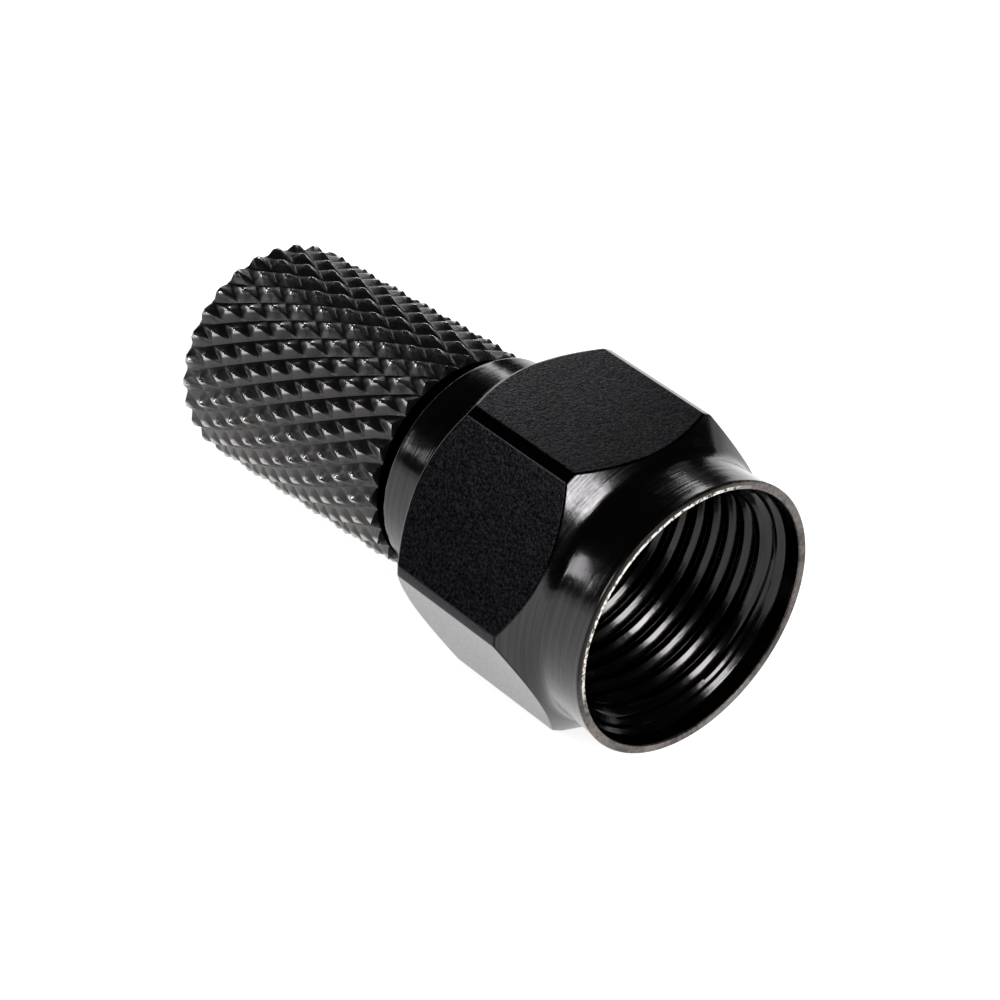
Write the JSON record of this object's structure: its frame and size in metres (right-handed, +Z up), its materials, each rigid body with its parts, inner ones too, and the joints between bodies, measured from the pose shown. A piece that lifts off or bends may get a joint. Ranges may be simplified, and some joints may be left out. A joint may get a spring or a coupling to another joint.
{
  "type": "f connector",
  "caption": "Twist-on coaxial F plug: a diamond-knurled cable sleeve with a captive, free-spinning hexagonal coupling nut whose collar flares out at its mouth.",
  "frame": {"origin": "on the coupling nut's axis, where its thread begins behind the countersunk mouth", "axes": "+X along the nut's axis out of its mouth, +Z up, with the nut on one of its flats at z = -5.5 mm and the loose body drooping to the same level"},
  "size_m": [0.0236, 0.0124, 0.011],
  "materials": {
    "knurled_body": "gloss",
    "coupling_nut": "satin"
  },
  "bodies": {
    "body": {"knurled_body": "knurled_body"},
    "nut": {"coupling_nut": "coupling_nut"}
  },
  "joints": [
    {"name": "nut_spin", "type": "hinge", "parent": "body", "child": "nut", "pos_m": [0, 0, 0], "axis": [1, 0, 0], "continuous": true}
  ]
}
